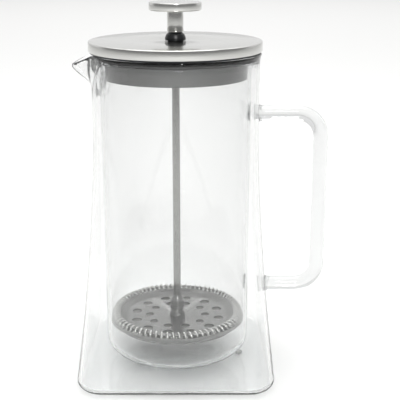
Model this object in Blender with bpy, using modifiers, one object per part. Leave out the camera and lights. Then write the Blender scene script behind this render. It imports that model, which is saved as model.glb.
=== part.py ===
"""A double-wall glass french press.

+Z is up, the spout points to -X and the handle to +X. The origin is on the beaker's axis, in the
plane that the base stands on. The plunger is pressed down and the lid is on.
"""

import math

import bmesh
import bpy
from mathutils import Matrix, Vector

MM = 0.001
GAP = 0.3 * MM  # between pieces that touch on the real object

# Outer shell: round at the top, rounded square at the foot
SHELL_TOP_RADIUS = 52.5 * MM
SHELL_BASE_HALF = 62.0 * MM
SHELL_CORNER_RADIUS = 16.5 * MM
SHELL_EDGE_RADIUS = 5.5 * MM
SHELL_WALL = 2.2 * MM
SHELL_ROUND_ABOVE = 155.0 * MM
SHELL_SWELL = 1.75  # the power with which the half-width grows on the way down
SHELL_SHARPEN = 0.85  # the power with which the corners tighten
SHELL_TOP = 203.0 * MM

# Inner beaker with its rim and spout
BEAKER_RADIUS = 45.0 * MM
BEAKER_WALL = 2.2 * MM
BEAKER_FLOOR = 10.5 * MM
BEAKER_FLOOR_RADIUS = 8.0 * MM
RIM_TOP = 204.3 * MM
RIM_RADIUS = 52.2 * MM
SPOUT_HALF_ANGLE = math.radians(24.0)
SPOUT_TIP = (64.2 * MM, 197.0 * MM)

# Handle
HANDLE_ROD_RADIUS = 4.7 * MM
HANDLE_REACH = 92.0 * MM
HANDLE_TOP = 166.0 * MM
HANDLE_BOTTOM = 51.0 * MM
HANDLE_BEND = 15.0 * MM

# Vent in the base
VENT_PLACE = (41.0 * MM, -3.0 * MM)
VENT_RADIUS = 2.6 * MM

# Lid
LID_RADIUS = 53.9 * MM
LID_TOP = 211.7 * MM
LID_SKIRT_BOTTOM = 205.7 * MM
LID_SHEET = 1.0 * MM
LID_EDGE = 0.8 * MM
LID_BORE = 5.0 * MM
GASKET_BOTTOM = 204.6 * MM
SEAL_RADIUS = 44.6 * MM
SEAL_WALL = 2.2 * MM
SEAL_BOTTOM = 189.4 * MM
COLLAR_WALL = 1.8 * MM
COLLAR_BOTTOM = 191.0 * MM
NOTCH_WIDTH = 42.0 * MM
NOTCH_ARCH = 0.38  # the height of the arch, as a share of its half-width
NOTCH_TOP = 198.6 * MM

# Plunger
ROD_RADIUS = 2.4 * MM
KNOB_RADIUS = 16.2 * MM
KNOB_TOP = 235.0 * MM
KNOB_THICKNESS = 5.0 * MM
STEM_RADIUS = 5.0 * MM
STEM_BOTTOM = 216.9 * MM
GROMMET_TOP = 216.6 * MM
GROMMET_RADIUS = 6.5 * MM
HUB_RADIUS = 4.6 * MM
HUB_TOP = 43.0 * MM
PLATE_FLOOR = 29.0 * MM
PLATE_SHEET = 0.8 * MM
MESH_BOTTOM = 27.3 * MM
MESH_SHEET = 0.4 * MM
MESH_RADIUS = 44.7 * MM
MESH_TOP = 34.6 * MM
COIL_WIRE_RADIUS = 0.45 * MM
COIL_TURNS = 60
COIL_STEPS = 6

ROUND_STEPS = 48
SMALL_STEPS = 24

BORE = ROD_RADIUS + GAP
COIL_OUTSIDE = MESH_RADIUS - MESH_SHEET - GAP
COIL_TURN_RADIUS = 2.9 * MM
COIL_RING_RADIUS = COIL_OUTSIDE - COIL_TURN_RADIUS
COIL_MIDDLE = MESH_BOTTOM + MESH_SHEET + GAP + COIL_TURN_RADIUS + 0.6 * MM


def clear_scene():
    for thing in list(bpy.data.objects):
        bpy.data.objects.remove(thing, do_unlink=True)


def new_collection(name):
    collection = bpy.data.collections.new(name)
    bpy.context.scene.collection.children.link(collection)
    return collection


clear_scene()
PRESS = new_collection("french_press")
CUTTERS = new_collection("cutters")


def material(name, color, roughness, metallic=0.0, transmission=0.0):
    made = bpy.data.materials.new(name)
    made.use_nodes = True
    shader = made.node_tree.nodes["Principled BSDF"]
    shader.inputs["Base Color"].default_value = (*color, 1.0)
    shader.inputs["Roughness"].default_value = roughness
    shader.inputs["Metallic"].default_value = metallic
    shader.inputs["Transmission Weight"].default_value = transmission
    made.diffuse_color = (*color, 1.0)
    return made


GLASS = material("borosilicate_glass", (0.93, 0.95, 0.96), 0.02, transmission=1.0)
SATIN_STEEL = material("satin_steel", (0.72, 0.72, 0.71), 0.28, metallic=1.0)
POLISHED_STEEL = material("polished_steel", (0.78, 0.78, 0.78), 0.1, metallic=1.0)
MESH_STEEL = material("woven_steel_mesh", (0.42, 0.42, 0.42), 0.4, metallic=1.0)
GREY_SILICONE = material("grey_silicone", (0.16, 0.16, 0.16), 0.65)
BLACK_SILICONE = material("black_silicone", (0.008, 0.009, 0.01), 0.4)
CLEAR_SILICONE = material("clear_silicone", (0.7, 0.7, 0.7), 0.5)
GREY_PLASTIC = material("grey_plastic", (0.22, 0.22, 0.22), 0.5)


def mesh_object(name, bm, finish, collection=PRESS):
    """A bmesh made into an object, with its round sides shaded smooth."""
    mesh = bpy.data.meshes.new(name)
    bm.to_mesh(mesh)
    bm.free()
    mesh.shade_smooth()
    mesh.set_sharp_from_angle(angle=math.radians(35.0))
    thing = bpy.data.objects.new(name, mesh)
    collection.objects.link(thing)
    if finish:
        mesh.materials.append(finish)
    return thing


def cutter(thing):
    thing.hide_render = True
    thing.display_type = "WIRE"
    return thing


def cut(thing, tool, operation="DIFFERENCE"):
    boolean = thing.modifiers.new("cut_" + tool.name, "BOOLEAN")
    boolean.object = tool
    boolean.operation = operation
    boolean.solver = "EXACT"


def turned(name, profile, finish, steps=ROUND_STEPS, closed=True):
    """Turns a profile of (radius, height) round Z. It runs down its outer side, top to bottom."""
    bm = bmesh.new()
    verts = [bm.verts.new((radius, 0.0, height)) for radius, height in profile]
    pairs = list(zip(verts, verts[1:]))
    if closed:
        pairs.append((verts[-1], verts[0]))
    for pair in pairs:
        bm.edges.new(pair)
    thing = mesh_object(name, bm, finish)
    screw = thing.modifiers.new("turn", "SCREW")
    screw.axis = "Z"
    screw.steps = steps
    screw.render_steps = steps
    screw.use_merge_vertices = True
    screw.merge_threshold = 0.00001
    screw.use_smooth_shade = True
    return thing


def arc(center, radius, start, end, steps):
    """Points on a circle in the (radius, height) plane, with its angles in degrees."""
    points = []
    for i in range(steps + 1):
        angle = math.radians(start + (end - start) * i / steps)
        points.append((center[0] + radius * math.cos(angle), center[1] + radius * math.sin(angle)))
    return points


def skin(bm, rings, close_top=False, close_bottom=False):
    """Faces between rings of equal count, each ring counter-clockwise from above, lowest first."""
    rows = [[bm.verts.new(point) for point in ring] for ring in rings]
    for low, high in zip(rows, rows[1:]):
        for i, corner in enumerate(low):
            after = (i + 1) % len(low)
            bm.faces.new((corner, low[after], high[after], high[i]))
    if close_bottom:
        bm.faces.new(list(reversed(rows[0])))
    if close_top:
        bm.faces.new(rows[-1])
    return rows


# ---------------------------------------------------------------- outer shell

CORNER_CROWDING = 0.4  # how much closer the points of a ring lie near its corners


def ring_angles(count):
    angles = []
    quarter = count // 4
    for side in range(4):
        for i in range(quarter):
            along = 2.0 * i / quarter - 1.0
            bent = along * (1.0 - CORNER_CROWDING * (1.0 - along * along))
            angles.append(math.radians(90.0 * side + 45.0 + 45.0 * bent))
    return angles


def rounded_square_radius(half, corner, angle):
    """The distance from the middle of a rounded square to its outline, at an angle."""
    across = abs(math.cos(angle))
    along = abs(math.sin(angle))
    flat = half / max(across, along)
    if min(across, along) * flat <= half - corner:
        return flat
    middle = (half - corner) * (across + along)
    return middle + math.sqrt(middle * middle - 2.0 * (half - corner) ** 2 + corner * corner)


def shell_section(height):
    """Half-width and corner radius of the outer shell at a height."""
    down = (SHELL_ROUND_ABOVE - height) / (SHELL_ROUND_ABOVE - SHELL_EDGE_RADIUS)
    down = min(max(down, 0.0), 1.0)
    half = SHELL_TOP_RADIUS + (SHELL_BASE_HALF - SHELL_TOP_RADIUS) * down ** SHELL_SWELL
    sharp = 1.0 - (1.0 - down) ** SHELL_SHARPEN
    corner = half + (SHELL_CORNER_RADIUS - half) * sharp
    return half, corner


def shell_ring(height, inset=0.0):
    half, corner = shell_section(height)
    points = []
    for angle in ring_angles(ROUND_STEPS):
        radius = rounded_square_radius(half - inset, corner - inset, angle)
        points.append((radius * math.cos(angle), radius * math.sin(angle), height))
    return points


def make_outer_shell():
    rings = []
    for lean in (0.0, 30.0, 60.0):
        turn = math.radians(lean)
        inset = SHELL_EDGE_RADIUS * (1.0 - math.sin(turn))
        height = SHELL_EDGE_RADIUS * (1.0 - math.cos(turn))
        rings.append([(x, y, height) for x, y, _ in shell_ring(SHELL_EDGE_RADIUS, inset)])
    levels = 8
    for i in range(levels + 1):
        rings.append(shell_ring(SHELL_EDGE_RADIUS + (SHELL_ROUND_ABOVE - SHELL_EDGE_RADIUS) * i / levels))
    rings.append(shell_ring(SHELL_TOP))
    bm = bmesh.new()
    skin(bm, rings, close_bottom=True)
    shell = mesh_object("outer_shell", bm, GLASS)
    wall = shell.modifiers.new("wall", "SOLIDIFY")
    wall.thickness = SHELL_WALL
    wall.offset = -1.0
    wall.use_even_offset = True
    return shell


# ---------------------------------------------------------------- inner beaker


def along_points(points, share):
    """The point a share of the way along evenly spaced points, on a smooth curve."""
    place = share * (len(points) - 1)
    index = min(int(place), len(points) - 2)
    t = place - index
    before = points[max(index - 1, 0)]
    a = points[index]
    b = points[index + 1]
    after = points[min(index + 2, len(points) - 1)]
    out = []
    for p0, p1, p2, p3 in zip(before, a, b, after):
        out.append(
            0.5
            * (
                2.0 * p1
                + (p2 - p0) * t
                + (2.0 * p0 - 5.0 * p1 + 4.0 * p2 - p3) * t * t
                + (3.0 * p1 - p0 - 3.0 * p2 + p3) * t * t * t
            )
        )
    return out


MOUTH_BOTTOM = 176.0 * MM
# The inside of the wall below the rim, and of the spout's middle line, as (radius, height)
MOUTH_LINE = [
    (BEAKER_RADIUS, MOUTH_BOTTOM),
    (BEAKER_RADIUS, 186.0 * MM),
    (BEAKER_RADIUS, 195.0 * MM),
    (BEAKER_RADIUS + 1.6 * MM, 201.6 * MM),
    (RIM_RADIUS - 3.5 * MM, RIM_TOP - 0.3 * MM),
    (RIM_RADIUS, RIM_TOP),
]
SPOUT_LINE = [
    (BEAKER_RADIUS, MOUTH_BOTTOM),
    (47.4 * MM, 181.2 * MM),
    (51.8 * MM, 184.8 * MM),
    (56.2 * MM, 188.4 * MM),
    (60.6 * MM, 192.4 * MM),
    SPOUT_TIP,
]
MOUTH_ROWS = 7
MOUTH_GAP = 0.6 * MM  # round the flaring mouth, whose facets stand a little proud


def spout_share(angle):
    """How far the wall is pulled out into the spout: 1 at its middle, 0 beside it."""
    away = abs((angle - math.pi + math.pi) % (2.0 * math.pi) - math.pi)
    if away >= SPOUT_HALF_ANGLE:
        return 0.0
    return math.cos(0.5 * math.pi * away / SPOUT_HALF_ANGLE) ** 2


def mouth_ring(share):
    wall = along_points(MOUTH_LINE, share)
    spout = along_points(SPOUT_LINE, share)
    points = []
    for i in range(ROUND_STEPS):
        angle = 2.0 * math.pi * i / ROUND_STEPS
        pull = spout_share(angle)
        radius = wall[0] + (spout[0] - wall[0]) * pull
        height = wall[1] + (spout[1] - wall[1]) * pull
        points.append((radius * math.cos(angle), radius * math.sin(angle), height))
    return points


def circle(radius, height):
    points = []
    for i in range(ROUND_STEPS):
        angle = 2.0 * math.pi * i / ROUND_STEPS
        points.append((radius * math.cos(angle), radius * math.sin(angle), height))
    return points


def make_inner_beaker():
    bend = arc(
        (BEAKER_RADIUS - BEAKER_FLOOR_RADIUS, BEAKER_FLOOR + BEAKER_FLOOR_RADIUS),
        BEAKER_FLOOR_RADIUS, -90.0, 0.0, 4,
    )
    rings = [circle(radius, height) for radius, height in bend]
    rings.append(circle(BEAKER_RADIUS, 0.5 * MOUTH_BOTTOM))
    rings += [mouth_ring(i / MOUTH_ROWS) for i in range(MOUTH_ROWS + 1)]
    bm = bmesh.new()
    skin(bm, rings, close_bottom=True)
    beaker = mesh_object("inner_beaker", bm, GLASS)
    wall = beaker.modifiers.new("wall", "SOLIDIFY")
    wall.thickness = BEAKER_WALL
    wall.offset = 1.0
    wall.use_even_offset = False
    return beaker


def make_mouth_cutter():
    """All that the mouth of the beaker and its spout take out of the outer shell."""
    bm = bmesh.new()
    rows = skin(bm, [mouth_ring(i / MOUTH_ROWS) for i in range(MOUTH_ROWS + 1)])
    bm.normal_update()
    moved = [(vert, vert.co + vert.normal * (BEAKER_WALL + MOUTH_GAP)) for vert in bm.verts]
    for vert, place in moved:
        vert.co = place
    above = [bm.verts.new((vert.co.x, vert.co.y, LID_TOP)) for vert in rows[-1]]
    for i, corner in enumerate(rows[-1]):
        after = (i + 1) % ROUND_STEPS
        bm.faces.new((corner, rows[-1][after], above[after], above[i]))
    bm.faces.new(above)
    bm.faces.new(list(reversed(rows[0])))
    return cutter(mesh_object("mouth_cutter", bm, None, CUTTERS))


# ---------------------------------------------------------------- handle and vent


def make_handle():
    """A rod bent to a D, whose ends stop at the shell."""
    top_root = shell_section(HANDLE_TOP)[0] + GAP
    bottom_root = shell_section(HANDLE_BOTTOM)[0] + GAP + 0.4 * MM
    bend_x = HANDLE_REACH - HANDLE_BEND
    route = [(top_root, HANDLE_TOP)]
    route += arc((bend_x, HANDLE_TOP - HANDLE_BEND), HANDLE_BEND, 90.0, 0.0, 6)
    route += arc((bend_x, HANDLE_BOTTOM + HANDLE_BEND), HANDLE_BEND, 0.0, -90.0, 6)
    route.append((bottom_root, HANDLE_BOTTOM))
    curve = bpy.data.curves.new("handle", "CURVE")
    curve.dimensions = "3D"
    curve.bevel_depth = HANDLE_ROD_RADIUS
    curve.bevel_resolution = 3
    curve.use_fill_caps = True
    spline = curve.splines.new("POLY")
    spline.points.add(len(route) - 1)
    for point, (x, z) in zip(spline.points, route):
        point.co = (x, 0.0, z, 1.0)
    curve.materials.append(GLASS)
    handle = bpy.data.objects.new("handle", curve)
    PRESS.objects.link(handle)
    return handle


def make_vent_cutter():
    bm = bmesh.new()
    bmesh.ops.create_cone(
        bm, cap_ends=True, segments=16, radius1=VENT_RADIUS, radius2=VENT_RADIUS, depth=4.0 * SHELL_WALL,
        matrix=Matrix.Translation((*VENT_PLACE, 0.0)),
    )
    return cutter(mesh_object("vent_cutter", bm, None, CUTTERS))


def make_vent_plug():
    neck = VENT_RADIUS - GAP
    head = VENT_RADIUS + 1.2 * MM
    floor = SHELL_WALL + GAP
    profile = [
        (0.0, floor + 1.2 * MM),
        (head - 0.4 * MM, floor + 1.2 * MM),
        (head, floor + 0.7 * MM),
        (head, floor),
        (neck, floor),
        (neck, 0.6 * MM),
        (0.0, 0.6 * MM),
    ]
    plug = turned("vent_plug", profile, CLEAR_SILICONE, steps=16, closed=False)
    plug.location = (*VENT_PLACE, 0.0)
    return plug


# ---------------------------------------------------------------- lid


def make_lid_cap():
    inside = LID_RADIUS - LID_SHEET
    under = LID_TOP - LID_SHEET
    edge = arc((LID_RADIUS - LID_EDGE, LID_TOP - LID_EDGE), LID_EDGE, 90.0, 0.0, 2)
    profile = [(LID_BORE, LID_TOP), *edge, (LID_RADIUS, LID_SKIRT_BOTTOM), (inside, LID_SKIRT_BOTTOM),
               (inside, under), (LID_BORE, under)]
    return turned("lid_cap", profile, SATIN_STEEL)


INSERT_TOP = LID_TOP - LID_SHEET - GAP
INSERT_BOTTOM = LID_SKIRT_BOTTOM + 0.3 * MM
INSERT_RADIUS = LID_RADIUS - LID_SHEET - GAP
COLLAR_OUTSIDE = SEAL_RADIUS - SEAL_WALL - GAP


def make_lid_insert():
    collar_inside = COLLAR_OUTSIDE - COLLAR_WALL
    profile = [
        (LID_BORE, INSERT_TOP),
        (INSERT_RADIUS, INSERT_TOP),
        (INSERT_RADIUS, INSERT_BOTTOM),
        (COLLAR_OUTSIDE, INSERT_BOTTOM),
        (COLLAR_OUTSIDE, COLLAR_BOTTOM),
        (collar_inside, COLLAR_BOTTOM),
        (collar_inside, INSERT_BOTTOM),
        (LID_BORE, INSERT_BOTTOM),
    ]
    return turned("lid_insert", profile, GREY_PLASTIC)


def make_seal_ring():
    inside = SEAL_RADIUS - SEAL_WALL
    top = GASKET_BOTTOM + 0.8 * MM
    profile = [
        (SEAL_RADIUS, top),
        (SEAL_RADIUS, SEAL_BOTTOM + 0.8 * MM),
        (SEAL_RADIUS - 0.8 * MM, SEAL_BOTTOM),
        (inside, SEAL_BOTTOM),
        (inside, top),
    ]
    return turned("seal_ring", profile, GREY_SILICONE)


def make_notch_cutter():
    """An arch through the seal ring and its collar on the spout's side."""
    half = 0.5 * NOTCH_WIDTH
    middle = NOTCH_TOP - NOTCH_ARCH * half
    outline = [(-half, SEAL_BOTTOM - 4.0 * MM)]
    for i in range(9):
        angle = math.radians(180.0 - 22.5 * i)
        outline.append((half * math.cos(angle), middle + NOTCH_ARCH * half * math.sin(angle)))
    outline.append((half, SEAL_BOTTOM - 4.0 * MM))
    bm = bmesh.new()
    near = [bm.verts.new((-SEAL_RADIUS - 6.0 * MM, y, z)) for y, z in outline]
    far = [bm.verts.new((-0.5 * SEAL_RADIUS, y, z)) for y, z in outline]
    bm.faces.new(near)
    bm.faces.new(list(reversed(far)))
    for i, corner in enumerate(near):
        after = (i + 1) % len(near)
        bm.faces.new((corner, far[i], far[after], near[after]))
    bmesh.ops.recalc_face_normals(bm, faces=bm.faces)
    return cutter(mesh_object("notch_cutter", bm, None, CUTTERS))


def make_rim_gasket():
    inside = SEAL_RADIUS + GAP
    outside = LID_RADIUS - 0.9 * MM
    top = LID_SKIRT_BOTTOM - GAP
    profile = [(outside, top), (outside, GASKET_BOTTOM), (inside, GASKET_BOTTOM), (inside, top)]
    return turned("rim_gasket", profile, BLACK_SILICONE)


WASHER_TOP = INSERT_BOTTOM - GAP
WASHER_BOTTOM = WASHER_TOP - 1.2 * MM


def make_rod_grommet():
    neck = LID_BORE - GAP
    seat = LID_TOP + GAP
    bead = WASHER_BOTTOM - GAP
    profile = [
        (BORE, GROMMET_TOP),
        (4.1 * MM, GROMMET_TOP),
        (5.2 * MM, GROMMET_TOP - 0.7 * MM),
        (6.1 * MM, GROMMET_TOP - 2.0 * MM),
        (GROMMET_RADIUS, seat + 1.2 * MM),
        (GROMMET_RADIUS, seat),
        (neck, seat),
        (neck, bead),
        (neck + 0.9 * MM, bead),
        (neck + 0.9 * MM, bead - 0.8 * MM),
        (neck, bead - 1.6 * MM),
        (BORE, bead - 1.6 * MM),
    ]
    return turned("rod_grommet", profile, BLACK_SILICONE, steps=SMALL_STEPS)


def make_grommet_washer():
    profile = [(9.0 * MM, WASHER_TOP), (9.0 * MM, WASHER_BOTTOM), (LID_BORE, WASHER_BOTTOM),
               (LID_BORE, WASHER_TOP)]
    return turned("grommet_washer", profile, SATIN_STEEL, steps=SMALL_STEPS)


# ---------------------------------------------------------------- knob and rod

KNOB_BOTTOM = KNOB_TOP - KNOB_THICKNESS
ROD_TOP = KNOB_BOTTOM - 1.8 * MM
NUT_TOP = MESH_BOTTOM - 2.0 * MM
NUT_BOTTOM = NUT_TOP - 4.5 * MM
ROD_BOTTOM = NUT_BOTTOM - 1.0 * MM


def make_knob_disc():
    edge = 0.9 * MM
    profile = [(0.0, KNOB_TOP)]
    profile += arc((KNOB_RADIUS - edge, KNOB_TOP - edge), edge, 90.0, 0.0, 2)
    profile += arc((KNOB_RADIUS - edge, KNOB_BOTTOM + edge), edge, 0.0, -90.0, 2)
    profile.append((0.0, KNOB_BOTTOM))
    return turned("knob_disc", profile, SATIN_STEEL, steps=32, closed=False)


def make_knob_stem():
    top = KNOB_BOTTOM - GAP
    profile = [
        (0.0, top),
        (STEM_RADIUS, top),
        (STEM_RADIUS, STEM_BOTTOM + 0.4 * MM),
        (STEM_RADIUS - 0.4 * MM, STEM_BOTTOM),
        (BORE, STEM_BOTTOM),
        (BORE, ROD_TOP + GAP),
        (0.0, ROD_TOP + GAP),
    ]
    return turned("knob_stem", profile, SATIN_STEEL, steps=SMALL_STEPS, closed=False)


def make_plunger_rod():
    tip = ROD_RADIUS - 0.5 * MM
    profile = [
        (0.0, ROD_TOP),
        (tip, ROD_TOP),
        (ROD_RADIUS, ROD_TOP - 0.5 * MM),
        (ROD_RADIUS, ROD_BOTTOM + 0.5 * MM),
        (tip, ROD_BOTTOM),
        (0.0, ROD_BOTTOM),
    ]
    return turned("plunger_rod", profile, SATIN_STEEL, steps=16, closed=False)


# ---------------------------------------------------------------- filter

HUB_BOTTOM = PLATE_FLOOR + 2.2 * MM


def make_hub_nut():
    profile = [
        (BORE, HUB_TOP),
        (BORE + 0.6 * MM, HUB_TOP),
        (HUB_RADIUS, HUB_TOP - 3.2 * MM),
        (HUB_RADIUS, HUB_BOTTOM),
        (BORE, HUB_BOTTOM),
    ]
    return turned("hub_nut", profile, POLISHED_STEEL, steps=SMALL_STEPS)


def make_hub_washer():
    top = HUB_BOTTOM - GAP
    bottom = PLATE_FLOOR + GAP
    profile = [(HUB_RADIUS + 0.5 * MM, top), (HUB_RADIUS + 0.5 * MM, bottom), (BORE, bottom), (BORE, top)]
    return turned("hub_washer", profile, POLISHED_STEEL, steps=SMALL_STEPS)


PLATE_RADIUS = COIL_RING_RADIUS - COIL_TURN_RADIUS - COIL_WIRE_RADIUS - GAP
OUTER_HOLES = 12
OUTER_HOLE_RING = 28.0 * MM
OUTER_HOLE_RADIUS = 3.2 * MM
OUTER_HOLE_START = math.radians(18.7)
INNER_HOLES = 10
INNER_HOLE_RING = 18.6 * MM
INNER_HOLE_RADIUS = 2.7 * MM


def make_spring_plate():
    """A dish whose raised rim centres the coil."""
    rise = 2.6 * MM
    profile = [
        (BORE, PLATE_FLOOR),
        (PLATE_RADIUS - 4.2 * MM, PLATE_FLOOR),
        (PLATE_RADIUS - 1.4 * MM, PLATE_FLOOR + rise),
        (PLATE_RADIUS, PLATE_FLOOR + rise),
        (PLATE_RADIUS, PLATE_FLOOR + rise - PLATE_SHEET),
        (PLATE_RADIUS - 1.0 * MM, PLATE_FLOOR + rise - PLATE_SHEET),
        (PLATE_RADIUS - 3.8 * MM, PLATE_FLOOR - PLATE_SHEET),
        (BORE, PLATE_FLOOR - PLATE_SHEET),
    ]
    return turned("spring_plate", profile, POLISHED_STEEL)


def make_hole_cutter(name, count, ring, radius, start, height, segments=10):
    """A circle of upright pins."""
    bm = bmesh.new()
    for i in range(count):
        angle = start + 2.0 * math.pi * i / count
        place = Vector((ring * math.cos(angle), ring * math.sin(angle), height))
        bmesh.ops.create_cone(
            bm, cap_ends=True, segments=segments, radius1=radius, radius2=radius, depth=4.0 * MM,
            matrix=Matrix.Translation(place),
        )
    return cutter(mesh_object(name, bm, None, CUTTERS))


def make_coil_spring():
    """One endless wire, wound in turns round a ring."""
    curve = bpy.data.curves.new("coil_spring", "CURVE")
    curve.dimensions = "3D"
    curve.bevel_depth = COIL_WIRE_RADIUS
    curve.bevel_resolution = 0
    spline = curve.splines.new("POLY")
    count = COIL_TURNS * COIL_STEPS
    spline.points.add(count - 1)
    winding = COIL_TURN_RADIUS - COIL_WIRE_RADIUS
    for i, point in enumerate(spline.points):
        around = 2.0 * math.pi * i / count
        turn = 2.0 * math.pi * i / COIL_STEPS
        radius = COIL_RING_RADIUS + winding * math.cos(turn)
        point.co = (
            radius * math.cos(around), radius * math.sin(around), COIL_MIDDLE + winding * math.sin(turn), 1.0,
        )
    spline.use_cyclic_u = True
    curve.materials.append(SATIN_STEEL)
    coil = bpy.data.objects.new("coil_spring", curve)
    PRESS.objects.link(coil)
    return coil


def make_mesh_screen():
    inside = MESH_RADIUS - MESH_SHEET
    floor = MESH_BOTTOM + MESH_SHEET
    bend = 1.8 * MM
    profile = [(MESH_RADIUS, MESH_TOP)]
    profile += arc((MESH_RADIUS - bend, MESH_BOTTOM + bend), bend, 0.0, -90.0, 3)
    profile += [(BORE, MESH_BOTTOM), (BORE, floor)]
    profile += arc((inside - bend + MESH_SHEET, floor + bend - MESH_SHEET), bend - MESH_SHEET, -90.0, 0.0, 3)
    profile.append((inside, MESH_TOP))
    return turned("mesh_screen", profile, MESH_STEEL)


CROSS_TOP = MESH_BOTTOM - GAP
CROSS_BOTTOM = NUT_TOP + GAP
CROSS_RADIUS = 40.0 * MM
NUT_RADIUS = 6.0 * MM


def make_cross_plate():
    profile = [(CROSS_RADIUS, CROSS_TOP), (CROSS_RADIUS, CROSS_BOTTOM), (BORE, CROSS_BOTTOM), (BORE, CROSS_TOP)]
    return turned("cross_plate", profile, POLISHED_STEEL)


def make_plate_nut():
    """A hexagon nut; its round bore is cut afterwards."""
    bm = bmesh.new()
    bmesh.ops.create_cone(
        bm, cap_ends=True, segments=6, radius1=NUT_RADIUS, radius2=NUT_RADIUS, depth=NUT_TOP - NUT_BOTTOM,
        matrix=Matrix.Translation((0.0, 0.0, 0.5 * (NUT_TOP + NUT_BOTTOM))),
    )
    return mesh_object("plate_nut", bm, POLISHED_STEEL)


def make_nut_bore_cutter():
    bm = bmesh.new()
    bmesh.ops.create_cone(
        bm, cap_ends=True, segments=16, radius1=BORE, radius2=BORE, depth=3.0 * (NUT_TOP - NUT_BOTTOM),
        matrix=Matrix.Translation((0.0, 0.0, NUT_BOTTOM)),
    )
    return cutter(mesh_object("nut_bore_cutter", bm, None, CUTTERS))


shell = make_outer_shell()
make_inner_beaker()
cut(shell, make_mouth_cutter())
cut(shell, make_vent_cutter())
make_handle()
make_vent_plug()

make_lid_cap()
notch = make_notch_cutter()
cut(make_lid_insert(), notch)
cut(make_seal_ring(), notch)
make_rim_gasket()
make_rod_grommet()
make_grommet_washer()

make_knob_disc()
make_knob_stem()
make_plunger_rod()

make_hub_nut()
make_hub_washer()
spring_plate = make_spring_plate()
cut(spring_plate, make_hole_cutter(
    "outer_hole_cutter", OUTER_HOLES, OUTER_HOLE_RING, OUTER_HOLE_RADIUS, OUTER_HOLE_START, PLATE_FLOOR))
cut(spring_plate, make_hole_cutter(
    "inner_hole_cutter", INNER_HOLES, INNER_HOLE_RING, INNER_HOLE_RADIUS, 0.0, PLATE_FLOOR))
make_coil_spring()
make_mesh_screen()
cross_plate = make_cross_plate()
cut(cross_plate, make_hole_cutter(
    "cross_hole_cutter", 8, 25.0 * MM, 8.0 * MM, 0.0, CROSS_TOP, segments=12))
cut(make_plate_nut(), make_nut_bore_cutter())
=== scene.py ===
# %% [markdown]
# # A double-wall glass french press
#
# The press has a blown glass body with two walls and a rod handle, a flat steel lid that holds
# a rubber-sealed collar, and a plunger: a knob, a rod and a stack of filter parts. Nearly all of
# it is round, so most pieces are one profile line, turned round the vertical axis as on a lathe.
# The glass is the difficult part, because it only looks right when its walls are real walls.

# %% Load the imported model
import math

import bpy
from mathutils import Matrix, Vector


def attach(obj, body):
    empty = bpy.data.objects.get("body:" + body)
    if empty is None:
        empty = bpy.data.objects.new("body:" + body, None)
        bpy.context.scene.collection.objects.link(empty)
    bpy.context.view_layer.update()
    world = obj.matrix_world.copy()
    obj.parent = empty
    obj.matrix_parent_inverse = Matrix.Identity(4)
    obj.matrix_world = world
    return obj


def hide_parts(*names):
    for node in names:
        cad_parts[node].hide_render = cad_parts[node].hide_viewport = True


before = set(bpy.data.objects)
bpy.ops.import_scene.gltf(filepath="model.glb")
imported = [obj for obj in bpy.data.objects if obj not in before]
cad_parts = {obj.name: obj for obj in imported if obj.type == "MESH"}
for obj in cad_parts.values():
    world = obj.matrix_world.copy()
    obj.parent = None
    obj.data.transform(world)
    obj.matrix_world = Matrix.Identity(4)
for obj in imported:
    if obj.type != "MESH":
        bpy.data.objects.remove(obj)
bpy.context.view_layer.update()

# %% [markdown]
# ## Small helpers
#
# Sizes below are written in millimetres, as a maker would, and turned to metres here. Colours
# are written as hex values, which are sRGB, and Blender's sockets want linear light.

# %% Units, colours and selection
MM = 0.001


def colour(hex_value):
    """A #rrggbb colour as linear RGBA."""
    made = []
    for i in (1, 3, 5):
        part = int(hex_value[i : i + 2], 16) / 255.0
        made.append(part / 12.92 if part <= 0.04045 else ((part + 0.055) / 1.055) ** 2.4)
    return (*made, 1.0)


def deselect_all():
    """Back to object mode, with nothing selected, so an operator acts on one piece only."""
    if bpy.context.object and bpy.context.object.mode != "OBJECT":
        bpy.ops.object.mode_set(mode="OBJECT")
    bpy.ops.object.select_all(action="DESELECT")


def pick(piece):
    deselect_all()
    piece.select_set(True)
    bpy.context.view_layer.objects.active = piece


deselect_all()

# %% [markdown]
# ## A lathe
#
# A profile is a list of corners, each with its radius, its height and how far it is rounded.
# No real edge is perfectly sharp: the small rounding is what catches a line of light. The
# profile is drawn by extruding a single vertex from corner to corner, and then spun.


# %% Round the corners of a profile
def rounded(corners, steps=3):
    """The corners (radius, height, rounding) as points, with an arc at each rounded one."""
    points = []
    for i, (x, z, size) in enumerate(corners):
        before = corners[i - 1]
        after = corners[(i + 1) % len(corners)]
        to_before = Vector((before[0] - x, before[1] - z))
        to_after = Vector((after[0] - x, after[1] - z))
        if size <= 0 or to_before.length < 1e-9 or to_after.length < 1e-9:
            points.append((x, z))
            continue
        to_before.normalize()
        to_after.normalize()
        half = 0.5 * to_before.angle(to_after)
        centre = Vector((x, z)) + (to_before + to_after).normalized() * size / math.sin(half)
        start = Vector((x, z)) + to_before * size / math.tan(half) - centre
        turn = start.angle_signed(Vector((x, z)) + to_after * size / math.tan(half) - centre)
        for k in range(steps + 1):
            angle = -turn * k / steps
            points.append(
                (
                    centre.x + start.x * math.cos(angle) - start.y * math.sin(angle),
                    centre.y + start.x * math.sin(angle) + start.y * math.cos(angle),
                )
            )
    return points


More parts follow.
